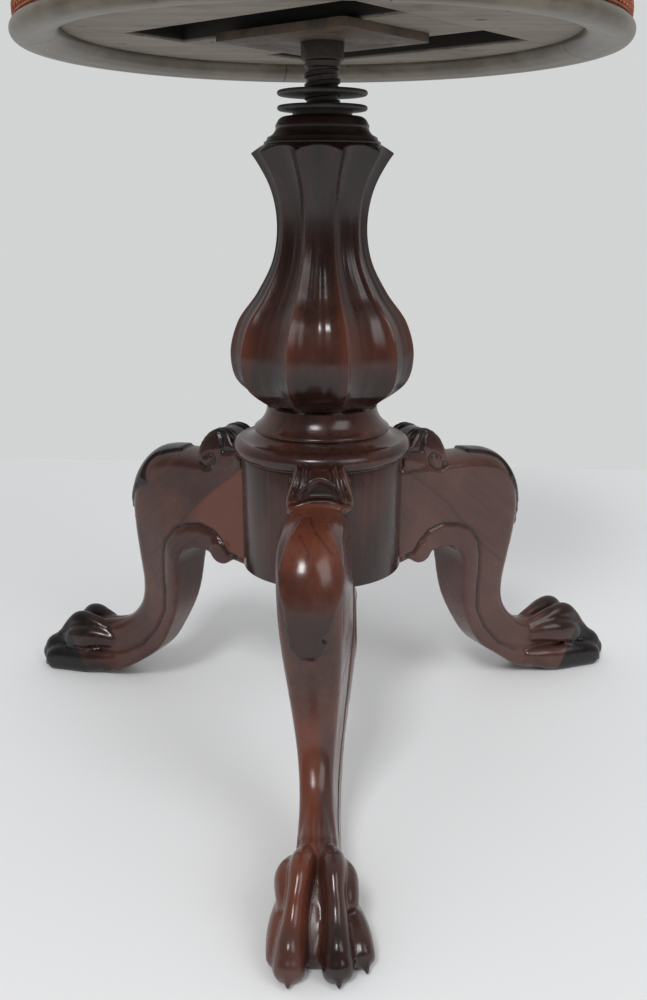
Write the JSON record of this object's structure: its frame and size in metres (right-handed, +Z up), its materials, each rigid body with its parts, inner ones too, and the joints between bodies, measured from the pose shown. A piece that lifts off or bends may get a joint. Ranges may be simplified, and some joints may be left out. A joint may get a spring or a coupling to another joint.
{
  "type": "revolving piano stool",
  "caption": "Round padded piano stool on an iron screw in a fluted vase column, with carved cabriole legs ending in paws; turning the seat raises it.",
  "frame": {"origin": "on the floor, on the axis of the column and the screw", "axes": "+Z up along the screw, the front leg points along -Y, +X to the right as seen from the front"},
  "size_m": [0.4642, 0.4373, 0.5287],
  "materials": {
    "polished_mahogany": "french polished, glossy, nearly black red-brown",
    "iron": "dark oiled iron",
    "leather_washers": "dark pressed leather",
    "frame_boards": "unpolished, aged",
    "jute_webbing": "coarse weave",
    "base_cloth": "hessian",
    "stuffing": "hair and wadding under the cover",
    "velvet_cover": "rust-red looped pile",
    "braid_trim": "rust-red woven gimp band"
  },
  "bodies": {
    "base": {"drum_block": "polished_mahogany", "base_moulding": "polished_mahogany", "carved_vase": "polished_mahogany", "top_collar": "polished_mahogany", "screw_nut": "iron", "lower_washer": "leather_washers", "leg_front": "polished_mahogany", "leg_right": "polished_mahogany", "leg_left": "polished_mahogany"},
    "riser": {"upper_washer": "leather_washers"},
    "seat": {"seat_screw": "iron", "screw_plate": "iron", "plate_screws": "iron", "cross_plank": "frame_boards", "full_board_right": "frame_boards", "full_board_left": "frame_boards", "cross_board_front": "frame_boards", "cross_board_back": "frame_boards", "webbing_lengthwise": "jute_webbing", "webbing_crosswise": "jute_webbing", "base_cloth": "base_cloth", "stuffing_pad": "stuffing", "seat_cover": "velvet_cover", "braid": "braid_trim", "rim_segment_1": "polished_mahogany", "rim_segment_2": "polished_mahogany", "rim_segment_3": "polished_mahogany", "rim_segment_4": "polished_mahogany"}
  },
  "joints": [
    {"name": "riser_lift", "type": "slide", "parent": "base", "child": "riser", "axis": [0, 0, 1], "range_m": [-0.0051, 0.0951]},
    {"name": "seat_turn", "type": "hinge", "parent": "riser", "child": "seat", "pos_m": [0, 0, 0.42], "axis": [0, 0, 1], "range_deg": [-300, 5700]}
  ],
  "couplings": [
    {"joint": "riser_lift", "follows": "seat_turn", "m_per_rad": 0.00095493}
  ]
}
